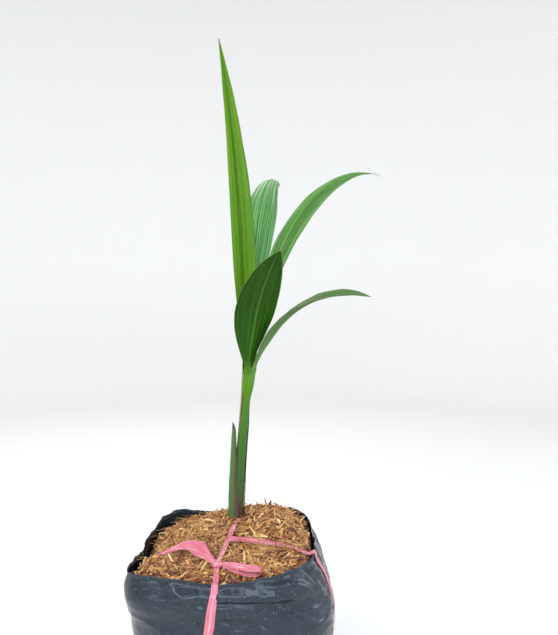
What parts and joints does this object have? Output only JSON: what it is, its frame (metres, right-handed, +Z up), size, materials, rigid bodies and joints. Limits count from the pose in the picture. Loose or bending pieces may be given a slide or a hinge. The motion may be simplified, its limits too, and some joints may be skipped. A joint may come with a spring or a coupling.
{
  "type": "potted dwarf coconut palm",
  "caption": "Young dwarf coconut palm with undivided arching leaves, growing in a soft black film grow bag of chipped coconut husk tied with a pink ribbon and bow.",
  "frame": {"origin": "middle of the grow bag's flat underside", "axes": "+Z up, the front of the bag with the bow faces -Y"},
  "size_m": [0.383, 0.4841, 1.0538],
  "materials": {
    "film": "glossy black polyethylene film, creased",
    "husk": "chipped coconut husk and fibre, golden to red-brown",
    "stem": "smooth green leaf-base stem",
    "sheath": "old leaf sheath with a dry brown edge",
    "young_leaf": "bright yellow-green pleated leaf",
    "leaf": "mid-green pleated leaf with a soft sheen",
    "ribbon": "creased pink flat film ribbon"
  },
  "bodies": {
    "root": {"grow_bag": "film", "husk_fill": "husk", "stem": "stem", "basal_sheath": "sheath", "dry_sheath": "sheath", "spear_leaf": "young_leaf", "back_leaf_lower": "leaf", "back_leaf_tip": "leaf", "upper_right_leaf_lower": "leaf", "upper_right_leaf_tip": "leaf", "front_leaf": "leaf", "lower_right_leaf_lower": "leaf", "lower_right_leaf_tip": "leaf", "ribbon_loop": "ribbon", "ribbon_side": "ribbon", "ribbon_top": "ribbon", "ribbon_knot": "ribbon", "ribbon_tail": "ribbon", "ribbon_bow": "ribbon"}
  },
  "joints": []
}
